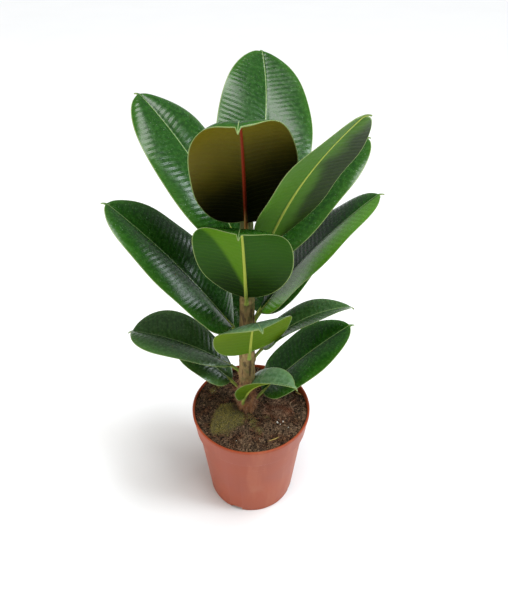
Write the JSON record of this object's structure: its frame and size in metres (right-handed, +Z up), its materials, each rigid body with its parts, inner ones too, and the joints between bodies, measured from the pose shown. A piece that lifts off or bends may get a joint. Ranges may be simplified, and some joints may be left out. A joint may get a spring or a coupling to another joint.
{
  "type": "potted rubber plant",
  "caption": "Upright single-stemmed rubber plant with large glossy oval leaves, rooted in soil in a tapered round terracotta-coloured plastic nursery pot.",
  "frame": {"origin": "centre of the pot's underside, where it stands", "axes": "+Z up along the pot's axis and the stem; +X to the viewer's right and -Y towards the viewer"},
  "size_m": [0.3384, 0.3161, 0.627],
  "materials": {
    "pot_plastic": "satin moulded plastic",
    "soil": "loose fibrous peat",
    "moss": "soft matted moss",
    "bark": "rough bark with leaf scars",
    "bud": "smooth waxy sheath",
    "leaf": "glossy waxy leaf",
    "young_leaf": "glossy young leaf, brown underneath"
  },
  "bodies": {
    "root": {"pot": "pot_plastic", "soil": "soil", "moss_clump": "moss", "stem": "bark", "terminal_bud": "bud", "leaf_top_front": "young_leaf", "leaf_top_back": "leaf", "leaf_upper_left": "leaf", "leaf_upper_right": "leaf", "leaf_upper_right_back": "leaf", "leaf_middle_front": "leaf", "leaf_middle_right": "leaf", "leaf_middle_right_back": "leaf", "leaf_middle_left": "leaf", "leaf_middle_left_back": "leaf", "leaf_lower_front": "leaf", "leaf_lower_right": "leaf", "leaf_lower_left": "leaf", "leaf_lowest_left": "leaf", "leaf_lowest_right": "leaf", "leaf_lowest_front": "leaf"}
  },
  "joints": []
}
